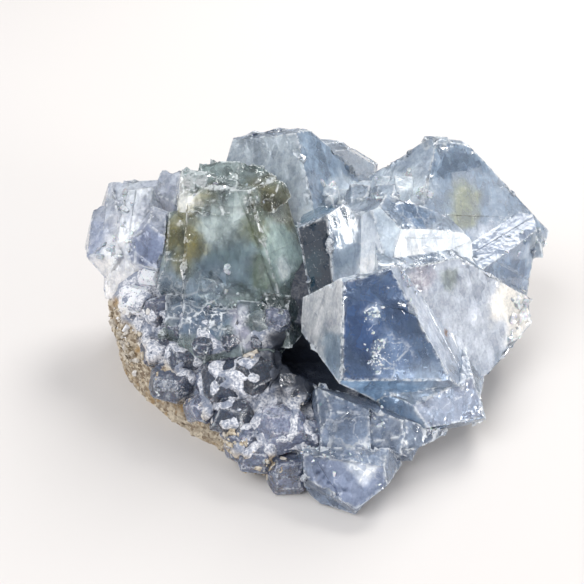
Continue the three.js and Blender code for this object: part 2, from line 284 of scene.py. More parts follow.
class Wire:
    """One value in a material's node tree. Sums on wires add the nodes that work them out."""

    def __init__(self, tree, socket=None):
        self.tree = tree
        self.socket = socket

    def node(self, kind, settings=None, output=0, **inputs):
        """Any node: its settings, then what goes in by name or number; a colour may go in as its code."""
        made = self.tree.nodes.new("ShaderNode" + kind)
        for name, value in (settings or {}).items():
            setattr(made, name, value)
        for name, value in inputs.items():
            target = made.inputs[int(name[1:])] if name[1:].isdigit() else made.inputs[name.replace("_", " ")]
            if isinstance(value, Wire):
                self.tree.links.new(value.socket, target)
            else:
                target.default_value = (*hue(value), 1.0) if isinstance(value, str) else value
        return Wire(self.tree, made.outputs[output] if made.outputs else None)

    def maths(self, operation, first, second=0.0):
        return self.node("Math", {"operation": operation}, i0=first, i1=second)

    def __add__(self, other):
        return self.maths("ADD", self, other)

    def __sub__(self, other):
        return self.maths("SUBTRACT", self, other)

    def __mul__(self, other):
        return self.maths("MULTIPLY", self, other)

    def __radd__(self, other):
        return self.maths("ADD", other, self)

    def __rsub__(self, other):
        return self.maths("SUBTRACT", other, self)

    def __rmul__(self, other):
        return self.maths("MULTIPLY", other, self)

    def __abs__(self):
        return self.maths("ABSOLUTE", self)

    def highest(self, *others):
        """The greatest of this value and the others."""
        top = self
        for other in others:
            top = self.maths("MAXIMUM", top, other)
        return top

    def between(self, low, high):
        """0 at low, 1 at high, and a smooth step between them."""
        settings = {"interpolation_type": "SMOOTHSTEP"}
        return self.node("MapRange", settings, Value=self, From_Min=low, From_Max=high)

    def mix(self, share, low, high, how="MIX"):
        settings = {"data_type": "RGBA", "blend_type": how}
        return self.node("Mix", settings, output=2, i0=share, i6=low, i7=high)

    def tinted(self, low, high):
        """The low colour where this is 0, the high one where it is 1."""
        return self.mix(self, low, high)

    def times(self, colour):
        return self.mix(1.0, self, colour, "MULTIPLY")

    def paler(self, share):
        """This colour with that share of white in it."""
        return self.mix(share, self, (1.0, 1.0, 1.0, 1.0))

    def stored(self, name, colour=False):
        """What a mesh keeps under that name."""
        return self.node("Attribute", {"attribute_name": name}, output=0 if colour else 2)

    def space(self, stretch=(1, 1, 1), turn=(0, 0, 0)):
        """The object's own coordinates, turned and stretched."""
        here = self.node("TexCoord", output=3)
        return self.node("Mapping", Vector=here, Rotation=turn, Scale=stretch)

    def cloud(self, spacing, detail=3.0, rough=0.55, where=None):
        """Noise from 0 to 1 whose swells are about `spacing` mm apart."""
        where = where or self.space()
        return self.node("TexNoise", Vector=where, Scale=1 / (spacing * MM), Detail=detail, Roughness=rough)

    def cells(self, spacing, feature="F1", where=None, output=0):
        """How far each point is from the middle of its cell, cells being about `spacing` mm apart."""
        where = where or self.space()
        return self.node("TexVoronoi", {"feature": feature}, output, Vector=where, Scale=1 / (spacing * MM))

    def cell_tones(self, spacing, where=None):
        """A number from 0 to 1 for each cell, at random."""
        return self.node("SeparateColor", i0=self.cells(spacing, where=where, output=1))

    def bumps(self, depth, strength):
        """The normal of a surface with this relief, `depth` mm deep."""
        return self.node("Bump", Height=self, Distance=depth * MM, Strength=strength)


def material(name):
    made = bpy.data.materials.new(name)
    made.use_nodes = True
    made.node_tree.nodes.clear()
    return made, Wire(made.node_tree)


def rock_material():
    """Tan grains, ochre stains and dark pits; where it is not bare, white sugar with blue-grey in it;
    near-black blue painted shade in the hollow and the cleft between the big crystals.
    """
    made, wire = material("matrix_rock")
    bare = wire.stored("bare")
    fine = wire.cloud(0.6, detail=5)
    tan = wire.cell_tones(0.9).tinted("857461", "d6cab5")
    stained = wire.cloud(5).between(0.52, 0.72).tinted(tan, "a68a63")
    pitted = fine.between(0.30, 0.42).tinted("4a4038", stained)
    sugar = fine.between(0.35, 0.62).tinted("9198a8", "eaeaee")
    rind = (wire.cloud(3.2).between(0.50, 0.62) * 0.75).tinted(sugar, "6f7a90")
    relief = fine + 0.5 * wire.cloud(0.25, detail=4)
    shader = wire.node(
        "BsdfPrincipled",
        # painted shade: near-black blue where the rock lies in the hollow and the cleft
        Base_Color=wire.stored("hollow_shade").tinted(bare.tinted(rind, pitted), "1b2230"),
        Roughness=0.55 + 0.35 * bare,
        Subsurface_Weight=0.08,
        Subsurface_Radius=(1.0, 0.9, 0.8),
        Subsurface_Scale=0.5 * MM,
        Normal=relief.bumps(0.35, 0.6),
    )
    wire.node("OutputMaterial", Surface=shader)
    return made


rock.data.materials.append(rock_material())


# ---------------------------------------------------------------- druse
# Stout grey-blue celestite crystals, 3 to 12 mm wide, that grew out of the rock between the big ones. Each is
# a tablet with bevelled edges and wedge ends, slightly uneven.

# The way each face looks, with its mirror images, and how far out it lies, in half widths.
HABIT = (
    ((1, 0, 0), 1.0),
    ((0, 1, 0), 0.8),
    ((0.77, 0, 0.64), 1.02),
    ((0, 0.62, 0.79), 0.96),
    ((0.79, 0.61, 0), 1.02),
)
FULLNESS = 1.09  # how much further out than that
UNEVEN = 0.09  # how far each face may lean
DRUSE_FACE = 0.8 * MM * COARSE
DRUSE_CORNER = 0.2  # radians, the gentlest bend that counts as an edge
DRUSE_BEVEL = 0.22 * MM
DRUSE_RELIEF = 0.05 * MM
CHALKY_WEST_OF = -41.5  # mm, where a white crust covers them
CUT_OFF = 0.3 * MM  # none reaches below this height
SHADED_HOLLOW = (((-1, -12, 16), 9), ((-13, -14, 20), 7))  # the hollow under the big block, where painted shade darkens the small crystals: places and reaches


def mirrored(way):
    ways = [way]
    for axis, length in enumerate(way):
        if length:
            ways += [tuple(-part if at == axis else part for at, part in enumerate(each)) for each in ways]
    return ways


def cut_to(bm, middle, faces):
    """Cuts the block down to flat faces, each a direction and its reach from the middle."""
    for out, reach in faces:
        everything = bm.verts[:] + bm.edges[:] + bm.faces[:]
        at = middle + out * reach
        cut = bmesh.ops.bisect_plane(bm, geom=everything, plane_co=at, plane_no=out, clear_outer=True)
        rim = [each for each in cut["geom_cut"] if isinstance(each, bmesh.types.BMEdge)]
        if len(rim) > 2:
            bmesh.ops.contextual_create(bm, geom=rim)


def bevel(bm, edges, width):
    bmesh.ops.bevel(
        bm, geom=edges, offset=width, segments=1, profile=0.5, affect="EDGES", material=-1, clamp_overlap=True
    )


def add_to(bm, part):
    """Puts a part's faces in with the others, and lets go of the part."""
    whole = bpy.data.meshes.new("part")
    part.to_mesh(whole)
    part.free()
    bm.from_mesh(whole)
    bpy.data.meshes.remove(whole)


def small_crystal(x, y, z, width, height, turn, tilt):
    bm = bmesh.new()
    middle = place(x, y, z)
    bmesh.ops.create_cube(bm, size=40 * MM)
    bmesh.ops.translate(bm, vec=middle, verts=bm.verts)
    stand = Euler((math.radians(tilt), 0, math.radians(turn))).to_matrix()
    faces = [((0, 0, 1), height / 2), ((0, 0, -1), height / 2)]
    for way, share in HABIT:
        faces += [(each, share * width / 2 * chance.uniform(0.9, 1.08)) for each in mirrored(way)]
    leaning = []
    for way, reach in faces:
        lean = Vector([chance.uniform(-UNEVEN, UNEVEN) for _ in "xyz"])
        out = (stand @ (Vector(way).normalized() + lean)).normalized()
        leaning.append((out, reach * FULLNESS * MM))
    cut_to(bm, middle, leaning)
    cut_to(bm, Vector(), [(Vector((0, 0, -1)), -CUT_OFF)])
    return bm


def facet_relief(bm):
    """Low growth steps and upright fine lines on a small crystal's faces."""
    bm.normal_update()
    for vert in bm.verts:
        spot = vert.co / MM
        step = math.floor(3 * noise.noise(spot / 6.5) + 1.5 * noise.noise(spot / 2.7))
        line = noise.noise(spot * Vector((1.4, 1.4, 0.12)))
        vert.co += vert.normal * (step + line) * DRUSE_RELIEF


def edge_tree(bm, wanted):
    """The lines of a solid's edges as points, half a millimetre apart, that can be searched."""
    points = []
    for edge in bm.edges:
        if not edge.is_manifold or not wanted(edge.calc_face_angle_signed(0)):
            continue
        start, end = (vert.co for vert in edge.verts)
        count = max(1, int(edge.calc_length() / (0.5 * MM)))
        points += [start.lerp(end, at / count) for at in range(count + 1)]
    tree = kdtree.KDTree(len(points))
    for at, point in enumerate(points):
        tree.insert(point, at)
    tree.balance()
    return tree


def nearness(tree, point, reach):
    """1 on a line of the tree, falling to 0 at that many mm from it."""
    distance = tree.find(point)[2]
    return max(0.0, 1 - distance / (reach * MM)) if distance is not None else 0.0


def druse_piece():
    joined = bmesh.new()
    notes = {"tone": [], "worn": [], "chalky": [], "deep": []}
    for row in DRUSE:
        bm = small_crystal(*row)
        ridges = edge_tree(bm, lambda angle: angle > DRUSE_CORNER)
        sharp = [edge for edge in bm.edges if edge.is_manifold and edge.calc_face_angle(0) > DRUSE_CORNER]
        bevel(bm, sharp, DRUSE_BEVEL)
        refine(bm, DRUSE_FACE)
        notes["worn"] += [nearness(ridges, vert.co, 0.05 * row[3] + 0.7) for vert in bm.verts]
        facet_relief(bm)
        # painted shade: how far each crystal lies in the hollow, kept as deep, darkens it
        depth = max(1.5 - (place(*row[:3]) - place(*at)).length / (reach * MM) for at, reach in SHADED_HOLLOW)
        notes["tone"] += [chance.random()] * len(bm.verts)
        notes["deep"] += [min(0.85, max(0.0, depth))] * len(bm.verts)
        notes["chalky"] += [1.0 if row[0] < CHALKY_WEST_OF else 0.0] * len(bm.verts)
        add_to(joined, bm)
    return piece_from(joined, "druse_crystals", "matrix_rock", "matrix", **notes)


BENDING = 1.62  # celestite's index of refraction


def celestite(wire, share, cloudy, clear, **inside):
    """Cloudy crystal where the share is 1, clear crystal where it is 0."""
    milky = wire.node("BsdfPrincipled", IOR=BENDING, **cloudy)
    glassy = wire.node("BsdfPrincipled", IOR=BENDING, Transmission_Weight=1.0, **clear)
    wire.node("OutputMaterial", Surface=wire.node("MixShader", i0=share, i1=glassy, i2=milky), **inside)


def druse_material():
    """Slate grey, with painted shade that darkens the crystals in the hollow and dims their frost; white
    frost on the edges and in clumps.
    """
    made, wire = material("druse_crystals")
    veil = wire.cloud(2.4, detail=5)
    fine = wire.cloud(0.6, detail=5)
    deep = wire.stored("deep")
    # painted shade: near-black slate where deep is high
    slate = deep.tinted(wire.stored("tone").tinted("3c4659", "858da6"), "1d2634")
    core = slate.times(fine.between(0.3, 0.7).tinted((0.75, 0.77, 0.8, 1), (1.25, 1.24, 1.2, 1)))
    frost = veil.between(0.55, 0.75) * 0.4
    white_edges = wire.stored("worn").between(0.4, 0.95) * fine.between(0.40, 0.62) * 0.6
    clumps = wire.cloud(3.4, detail=5).between(0.66, 0.70) * fine.between(0.3, 0.45) * 0.9
    chalk = wire.stored("chalky") * fine.between(0.2, 0.45)
    # painted shade dims the white in the hollow
    white = frost.highest(white_edges, clumps, chalk) * (1 - 0.8 * deep)
    bumps = (fine + 0.8 * clumps).bumps(0.25, 0.5)
    cloudy = dict(
        Base_Color=white.tinted(core, "e9eaee"),
        Roughness=0.18 + 0.45 * white,
        Subsurface_Weight=0.12,
        Subsurface_Scale=0.6 * MM,
        Coat_Weight=0.2,
        Coat_Roughness=0.06,
        Normal=bumps,
    )
    clear = dict(Base_Color=slate.paler(0.45), Roughness=0.06, Normal=bumps)
    celestite(wire, white.highest(0.35 + veil.between(0.3, 0.6) * 0.45), cloudy, clear)
    return made


druse = druse_piece()
druse.data.materials.append(druse_material())


# ---------------------------------------------------------------- main crystal group
# Wide wedge-ended celestite blocks grown into one another. Pale blue, part clear and part clouded by fine
# cracks; each has its own tint, with painted glare and painted light on some faces, and the edges are worn
# white in places, which also paints edge highlights.

MAIN_FACE = 1.22 * MM * COARSE
BACK_FACES = 1.9  # how much longer the mesh faces at the back may be
CORNER = 0.15  # radians, as for the druse
BEVEL = 0.3 * MM
EDGE_REACH = 2.2  # mm, how far from an edge it is chipped and worn, and from a seam crusted
STEP_WIDTH = 0.16 * MM
STEPPED_FACE = 60  # mm2, the smallest face that shows a growth step of its own
GROWTH_LINE = Vector((-0.25, 0.35, 0.9)).normalized()
# How far the surface moves, in mm.
BEND = 0.25  # wide faces bend
LINES = 0.05  # fine lines along the growth
CHIPS = 2.6  # bites out of the edges
CRUST = 0.9  # grains in the seams
SHARDS = 1.5  # the broken patches


def mark_faces(bm):
    """Numbers the wide flat faces, so that what they are split into later still knows its face."""
    layer = bm.faces.layers.int.new("plane")
    normals = {}
    for at, face in enumerate(bm.faces, 1):
        if face.calc_area() > 5 * MM**2:
            face[layer] = at
            normals[at] = face.normal.copy()
    return layer, normals


def score(bm, layer, mark, climb, at):
    """Cuts a numbered face along the line where `climb` reaches `at`, and again just beyond it."""
    for shift in (0, STEP_WIDTH):
        own = [face for face in bm.faces if face[layer] == mark]
        geom = own + list(dict.fromkeys(edge for face in own for edge in face.edges))
        geom += list(dict.fromkeys(vert for face in own for vert in face.verts))
        bmesh.ops.bisect_plane(bm, geom=geom, plane_co=climb * (at + shift), plane_no=climb)


def growth_steps(bm, layer, normals, named):
    """The lines where a growth layer ends on each flat face: which way it climbs, how far along, how high."""
    steps = {mark: [] for mark in normals}
    for way, start, end, height in named:
        out = facing(*way)
        start, end = place(*start), place(*end)
        mark = max(normals, key=lambda each: normals[each].dot(out))
        climb = normals[mark].cross(end - start).normalized()
        steps[mark].append((climb, start.dot(climb), height))
    for mark, normal in normals.items():
        own = [face for face in bm.faces if face[layer] == mark]
        edges = sorted((edge for face in own for edge in face.edges), key=lambda edge: -edge.calc_length())
        start, end = (vert.co.copy() for vert in chance.choice(edges[:4]).verts)
        if sum(face.calc_area() for face in own) / MM**2 > STEPPED_FACE:
            line = end - start
            line.rotate(Matrix.Rotation(math.radians(chance.uniform(-2, 2)), 3, normal))
            climb = normal.cross(line).normalized()
            reach = [vert.co.dot(climb) for face in own for vert in face.verts]
            at = min(reach) + (max(reach) - min(reach)) * chance.uniform(0.08, 0.92)
            steps[mark].append((climb, at, chance.choice((-1, 1)) * chance.uniform(0.05, 0.15)))
    for mark, lines in steps.items():
        for climb, at, _ in lines:
            score(bm, layer, mark, climb, at)
    return steps


def stepped(point, lines):
    """How high a face's growth layers stand at a point, in mm."""
    climbed = [(height, (point.dot(climb) - at) / STEP_WIDTH) for climb, at, height in lines]
    return sum(height * min(1.0, max(0.0, share)) for height, share in climbed)


def add_block(bm, middle, wide, deep, high):
    """A young crystal on a bigger one: half its width, depth and height, with a leaning top and sides."""
    part = bmesh.new()
    bmesh.ops.create_cube(part, size=60 * MM)
    bmesh.ops.translate(part, vec=place(*middle), verts=part.verts)
    skew = chance.uniform(-6, 6)
    faces = [
        (facing(-8 + skew, 24), deep),
        (facing(172 + skew, 12), deep),
        (facing(-80 + skew, 14), wide),
        (facing(66 + skew, 22), wide),
        (facing(-10 - 3 * skew, 68), high),
        (facing(40, 46), 0.5 * high + 0.6 * wide),
        (facing(-50, 48), 0.5 * high + 0.62 * wide),
        (facing(0, -90), high),
    ]
    cut_to(part, place(*middle), [(out, reach * MM) for out, reach in faces])
    add_to(bm, part)


def big_crystals(node, name, slot, longest, along, named=(), rough=(), cuts=(), blocks=(), pulls=()):
    """A group's faces with bevelled edges, growth steps, fine lines, chipped edges and broken patches.

    named: steps to place, each the way its face looks, its two ends and its height.
    rough: broken patches, each a place and a reach. cuts: flat breaks, each a place and the way it looks.
    blocks: young crystals. pulls: corners of the solid to move, from one place to another.
    """
    bm = solid_copy(node)
    for at, way in cuts:
        cut_to(bm, place(*at), [(facing(*way), 0)])
    for at, to in pulls:
        corners = [vert for vert in bm.verts if (vert.co - place(*at)).length < 0.9 * MM]
        bmesh.ops.translate(bm, vec=place(*to) - place(*at), verts=corners)
    for row in blocks:
        add_block(bm, *row)
    bm.normal_update()
    ridges = edge_tree(bm, lambda angle: angle > CORNER)
    seams = edge_tree(bm, lambda angle: angle < -CORNER)
    sharp = [edge for edge in bm.edges if edge.is_manifold and edge.calc_face_angle_signed(0) > CORNER]
    bevel(bm, sharp, BEVEL)
    bm.normal_update()
    layer, normals = mark_faces(bm)
    steps = growth_steps(bm, layer, normals, named)
    refine(bm, longest, BACK_FACES)
    bm.normal_update()
    notes = {"worn": [], "seam": [], "broken": []}
    moves, ways = [], []
    for vert in bm.verts:
        spot = vert.co / MM
        near_edge = nearness(ridges, vert.co, EDGE_REACH)
        near_seam = nearness(seams, vert.co, EDGE_REACH)
        marks = [mark for mark in dict.fromkeys(face[layer] for face in vert.link_faces) if mark]
        ways.append(normals[marks[0]] if marks else vert.normal.copy())
        shatter = max((1 - (vert.co - place(*at)).length / (reach * MM) for at, reach in rough), default=0)
        shatter = min(1.0, max(0.0, 2 * shatter + 0.6 * noise.noise(spot / 3)))
        across = spot - along * spot.dot(along)
        line = noise.noise(across * 1.3 + along * spot.dot(along) * 0.06)
        nick = noise.noise(spot / 4.2 + Vector((5, 0, 0))) + 0.3 * noise.noise(spot / 1.2) - 0.16
        chip = max(0.0, nick) * near_edge
        crust = max(0.0, noise.noise(spot / 1.3) + 0.1) * near_seam * max(0.0, noise.noise(spot / 9) + 0.3)
        shard = (0.5 - noise.voronoi(spot / 2.6)[0][0]) * shatter if shatter else 0
        lift = BEND * noise.noise(spot / 13) + LINES * line - CHIPS * chip + CRUST * crust + SHARDS * shard
        move = vert.normal * lift
        for mark in marks:
            move += normals[mark] * stepped(vert.co, steps[mark])
        moves.append(move)
        notes["worn"].append(near_edge)
        notes["seam"].append(near_seam)
        notes["broken"].append(shatter)
    for vert, move in zip(bm.verts, moves):
        vert.co += move * MM
    return piece_from(bm, name, node, slot, **notes), np.array(ways)


def tint(mesh, ways, ground, patches):
    """Colours a group by place.

    The ground is a colour, how cloudy it is and how frosted. A patch is its middle and reach in mm, its
    colour, cloudiness and frost and, where it keeps to one face, the way that face looks.
    """
    points = points_of(mesh)
    wide = np.stack([swirl(points, 7, seed) for seed in (1, 2, 3)], axis=1)
    close = np.stack([swirl(points, 1.9, seed) for seed in (4, 5, 6)], axis=1)
    colours = np.tile(np.array(hue(ground[0])), (len(points), 1))
    clouds = np.full(len(points), ground[1])
    frost = np.full(len(points), ground[2])
    for at, reach, code, cloudiness, frosted, *way in patches:
        ragged = (wide * (2 + 0.35 * reach) + close * (0.8 + 0.12 * reach)) * MM
        away = np.linalg.norm(points + ragged - np.array(place(*at)), axis=1) / MM
        share = 1 - slope(away, reach * 0.6, reach * 1.2)
        if way:
            share = share * slope(ways @ np.array(facing(*way[0])), 0.988, 0.996)
        colours += (np.array(hue(code)) - colours) * share[:, None]
        clouds += (cloudiness - clouds) * share
        frost += (frosted - frost) * share
    note(mesh, "tint", colours)
    note(mesh, "milk", clouds)
    note(mesh, "frost", frost)


def crystal_material(name, absorb, density):
    """Clear celestite with cloudy zones inside it: angular flaws, wisps, fine cracks and worn white edges
    that also serve as painted edge highlights.
    """
    made, wire = material(name)
    colour = wire.stored("tint", colour=True)
    frosted = wire.stored("frost")
    wisp = wire.cloud(7, detail=6, rough=0.62)
    fine = wire.cloud(1.4, detail=5)
    leaning = wire.space(stretch=(1.0, 0.8, 0.22), turn=(0.3, 0.25, 0.4))
    flaws = wire.cell_tones(6, where=leaning)
    small_flaws = wire.cell_tones(1.7, where=leaning)
    ruled = wire.cloud(1.0, detail=3, where=wire.space(stretch=(1, 1, 0.08), turn=(0.35, 0.25, 0)))
    grain = wire.cloud(0.7, detail=4).between(0.36, 0.64)
    tone = 0.35 * wisp.between(0.3, 0.7) + 0.09 * flaws + 0.11 * small_flaws
    tone = tone + 0.26 * grain + 0.19 * ruled.between(0.35, 0.65)
    marbled = colour.times(tone.tinted((0.60, 0.64, 0.70, 1), (1.44, 1.40, 1.34, 1)))
    # What is white: specks, veins, worn edges that also serve as painted edge highlights, crusted seams,
    # broken patches, a net of cracks and faint haze.
    speck = wire.cells(0.7).between(0.34, 0.16) * frosted * wire.cloud(2).between(0.42, 0.60)
    thread = abs(wire.cloud(8, detail=3) - 0.5)
    vein = thread.between(0.010, 0.001) * wisp.between(0.52, 0.62) * 0.4
    # worn white edges, partly real wear and partly painted edge highlight
    white_edges = wire.stored("worn").between(0.62, 1.0) * fine.between(0.40, 0.56) * 0.8
    crust = wire.stored("seam").between(0.3, 0.8) * fine.between(0.45, 0.65) * wisp.between(0.48, 0.6)
    shatter = wire.stored("broken") * small_flaws.between(0.45, 0.9) * 0.8
    drift = wire.cloud(3, detail=2)
    wavy = wire.node("VectorMath", {"operation": "MULTIPLY_ADD"}, i0=drift, i1=(4 * MM,) * 3, i2=wire.space())
    cracks = wire.cells(4.5, "DISTANCE_TO_EDGE", where=wavy).between(0.10, 0.02)
    net = cracks * frosted.between(0.25, 0.8) * fine.between(0.36, 0.5)
    haze = wisp.between(0.56, 0.80) * 0.16
    white = speck.highest(shatter, white_edges, crust, vein, net, haze)
    bumps = (ruled + 0.6 * fine + 0.5 * wisp).bumps(0.16, 0.5)
    cloudy = dict(
        Base_Color=white.tinted(marbled, "eef1f4"),
        Roughness=0.12 + 0.4 * white,
        Subsurface_Weight=0.15,
        Subsurface_Radius=(1.0, 1.0, 1.2),
        Subsurface_Scale=0.8 * MM,
        Coat_Weight=0.25,
        Coat_Roughness=0.04,
        Normal=bumps,
    )
    clear = dict(Base_Color=colour.paler(0.55), Roughness=0.03, Normal=bumps)
    milk = 1.35 * wire.stored("milk") - 0.42 + 0.9 * (wisp - 0.5) + 0.22 * (small_flaws - 0.5)
    within = wire.node("VolumeAbsorption", Color=absorb, Density=density)
    celestite(wire, milk.highest(white), cloudy, clear, Volume=within)
    return made


main_group, main_ways = big_crystals(
    "main_crystal_group",
    "main_crystals",
    "blue_celestite",
    MAIN_FACE,
    GROWTH_LINE,
    named=[
        # the front block's ledge
        ((14, 26), (6, -12, 42), (26, -12, 36), 0.4),
    ],
    rough=[((56, 10, 20), 6), ((6, 25, 46), 4), ((22, 26, 48), 4)],
    blocks=[
        ((31.5, 32, 58.2), 2.8, 1.8, 0.7),
        ((3, 26, 45), 3.0, 2.5, 2.6),
        ((8, 28, 42), 3.4, 3.0, 2.8),
        ((13, 31, 43), 3.0, 2.6, 3.0),
        ((18, 29, 46), 2.6, 2.4, 2.6),
        ((23, 24, 49), 2.6, 2.6, 2.0),
        ((17, 13, 53.5), 2.4, 2.6, 1.4),
        ((11, 16, 51), 2.6, 2.6, 2.0),
        ((60, 27, 31), 2.6, 2.6, 2.6),
    ],
)
tint(
    main_group.data,
    main_ways,
    ("b4c2d1", 0.6, 0.05),
    [
        # back peak: pale left face, darker right face
        ((-12, 28, 48), 26, "c3ced7", 0.75, 0.0, (-32, 30)),
        ((8, 34, 48), 24, "9cb2c9", 0.65, 0.2, (61, 34)),
        # right peak: pale blue front, olive stain, white cloud low on the right
        ((40, 22, 44), 36, "8ea3ba", 0.6, 0.05, (36, 34)),
        ((38, 21.5, 43.5), 7, "9ea48e", 0.7, 0.0, (36, 34)),
        ((52, 14, 32), 14, "c4ccd9", 0.85, 0.2, (36, 34)),
        ((53, 22, 36), 18, "97a3b6", 0.85, 0.1, (24, 71)),
        ((26, 36, 48), 26, "b2c0cf", 0.7, 0.3, (-64, 40)),
        ((10, 29, 43), 9, "cdd8e2", 0.9, 0.3),
        ((22, 24, 49), 8, "d6e0e8", 0.9, 0.4),
        # centre block: pale left face partly lightened as painted light, right face painted bright as glare,
        # a white painted glare low on both faces, dark blue roof
        # partly its own milky pale, partly painted light where little lamp light reaches the left face
        ((12, 4, 42), 14, "dfe6ee", 0.95, 0.0, (-46, 15)),
        # painted glare: a white stripe low on the left face
        ((12, 2, 38), 8, "ffffff", 1.0, 0.0, (-46, 15)),
        # painted glare: the right face painted bright, with a white stripe low on it
        ((26, 3, 38), 22, "e4ebf2", 0.95, 0.3, (34, 18)),
        ((20, -1, 40), 9, "ffffff", 1.0, 0.0, (34, 18)),
        ((24, 10, 48), 11, "788ea9", 0.7, 0.5, (56, 57)),
        ((14, 4, 46), 16, "cfdce8", 0.85, 0.0, (-10, 33)),
        ((10, 8, 44), 16, "c2d2e0", 0.85, 0.0, (-86, -7)),
        ((36, 9, 46), 10, "b9c5d2", 0.7, 0.0, (59, 53)),
        ((4, 4, 46), 8, "b9c9d8", 0.7, 0.0, (28, 19)),
        # dark prism
        ((0, 4, 42), 18, "162a3c", 1.15, 0.1, (-34, 12)),
        ((-1, 3, 38), 5, "24404f", 1.15, 0.2, (-34, 12)),
        ((2, 14, 50), 10, "6790a8", 0.6, 0.0, (-120, 53)),
        # front block: dark blue front, grey-white left face
        ((16, -16, 34), 30, "435b80", 0.75, 0.05, (14, 26)),
        ((26, -16, 26), 10, "566a86", 0.8, 0.15, (14, 26)),
        ((10, -16, 36), 6, "36507a", 0.85, 0.0, (14, 26)),
        ((18, -19, 27), 7, "667c9e", 0.85, 0.5, (14, 26)),
        ((12.8, -14.0, 38.3), 2.6, "8494ae", 0.9, 1.0, (14, 26)),
        ((13.8, -17.2, 31.3), 2.2, "8a9ab4", 0.9, 1.0, (14, 26)),
        ((14.0, -19.0, 27.6), 2.4, "8a9ab4", 0.9, 1.0, (14, 26)),
        ((28, -8, 32), 22, "bcc5d4", 0.8, 0.1, (72, 34)),
        ((32, -6.6, 26), 1.2, "6f4f30", 1.0, 0.0),
        ((4, -10, 34), 22, "cdcfd1", 0.9, 0.1, (-60, 14)),
        ((4, -17.5, 28.5), 7, "8494a2", 0.8, 0.1, (-60, 14)),
        ((20, -20, 15), 14, "7f9fc0", 0.75, 0.0, (-33, 5)),
        ((20, -20, 18), 20, "86a5c6", 0.8, 0.0, (7, -17)),
        # pale right block
        ((38, -2, 28), 28, "c3cad6", 0.8, 0.0, (40, 26)),
        ((24, -4, 40), 6, "a29ea9", 0.8, 0.5, (40, 26)),
        ((33, 1, 37), 4, "adb6b5", 0.7, 0.0, (40, 26)),
        ((53, 9, 22), 9, "ddd9d2", 1.0, 0.0, (40, 26)),
        # lip
        ((33, -19, 14), 14, "94a2b5", 0.75, 0.1),
        ((33, -19, 14), 18, "8a92a4", 0.85, 0.0, (22, 40)),
        # far right
        ((52, 16, 28), 12, "7a91ae", 0.6, 0.0, (40, 12)),
    ],
)
main_group.data.materials.append(crystal_material("blue_celestite", (0.66, 0.79, 0.93, 1), 18.0))


# ---------------------------------------------------------------- green crystal
# The tallest prism: see-through celestite, grey-green turning olive near its stepped end, with frost low down
# and squat crystals grown together at its foot.

green, green_ways = big_crystals(
    "green_crystal",
    "green_prism",
    "green_celestite",
    0.84 * MM * COARSE,
    Vector((0, 0.2, 1)).normalized(),
    named=[
        # the two long steps down its front, then the terraces of its top
        ((-8, 24), (-19, 11, 56), (-10, -1, 33), -0.9),
        ((-8, 24), (-22, 11, 56), (-18, 1, 35), 0.6),
        ((177, 76), (-34, 16, 56), (-8, 17, 56), 0.8),
        ((177, 76), (-24, 10, 56), (-24, 30, 52), -0.7),
        ((-64, 50), (-30, 8, 52), (-33, 20, 53), -0.8),
        ((-8, 24), (-32, 9, 53), (-10, 9, 53), 1.0),
    ],
    cuts=[((-16.3, 10.8, 56.6), (36, 31))],
    blocks=[
        ((-24, 19.5, 52.9), 5.5, 4.0, 3.6),
        ((-30, 16, 53), 4.0, 4.0, 2.8),
        ((-17, 19, 53.4), 4.0, 4.0, 2.8),
        ((-12, 17, 51.8), 3.0, 3.6, 2.2),
        ((-27, 11.5, 52.8), 4.4, 2.0, 1.8),
        ((-20, 11.5, 53.4), 3.4, 2.0, 2.0),
        ((-23, 14, 54.4), 4.0, 2.0, 2.2),
        # its foot: squat crystals grown together
        ((-34, 1, 25), 4.5, 4.0, 3.6),
        ((-29, -3, 25), 5.0, 4.0, 4.2),
        ((-22.5, -5, 24.5), 5.2, 4.0, 4.6),
        ((-15, -4.5, 26), 5.2, 4.0, 4.8),
        ((-9.5, -3, 28), 3.8, 3.6, 4.2),
        ((-20, -6, 20.5), 5.0, 4.2, 3.8),
    ],
)
tint(
    green.data,
    green_ways,
    ("b3c6c6", 0.50, 0.0),
    [
        ((-34, 10, 46), 11, "aea66a", 0.55, 0.0),
        ((-9, 14, 50), 10, "8f8e6c", 0.55, 0.0),
        ((-23, 6, 48), 8, "d2e2e2", 0.55, 0.0),
        ((-14, 6, 46), 5, "7b8467", 0.6, 0.0),
        ((-22, 2, 37), 9, "93b1bb", 0.5, 0.0),
        ((-25, 0, 32), 9, "7f96ab", 0.55, 0.45),
        ((-13.5, 1, 38), 4.5, "65775f", 0.6, 0.0),
        ((-36, 4, 30), 9, "8da0b3", 0.6, 0.5),
        ((-27, -4, 26), 9, "6f86a0", 0.65, 0.7),
        ((-17, -6, 27), 5, "a7a9bb", 0.8, 0.6),
        ((-8, -3, 31), 8, "465f60", 0.55, 0.5),
        # painted light: the right face lightened where the lamps leave it darker
        ((-7, 7, 42), 8.5, "cde3de", 0.7, 0.0),
        # painted highlights: white glints on the right face and at the top left
        ((-7, 6, 37), 3.5, "f2fbf8", 1.0, 0.0),
        ((-31, 12, 52), 3.5, "f8f8f2", 1.0, 0.0),
    ],
)
green.data.materials.append(crystal_material("green_celestite", (0.66, 0.78, 0.74, 1), 14.0))


# ---------------------------------------------------------------- left crystals
# Five clouded lilac-blue celestite crystals grown together at the left end, above the chalky side of the
# rock, with a broken white patch between them.

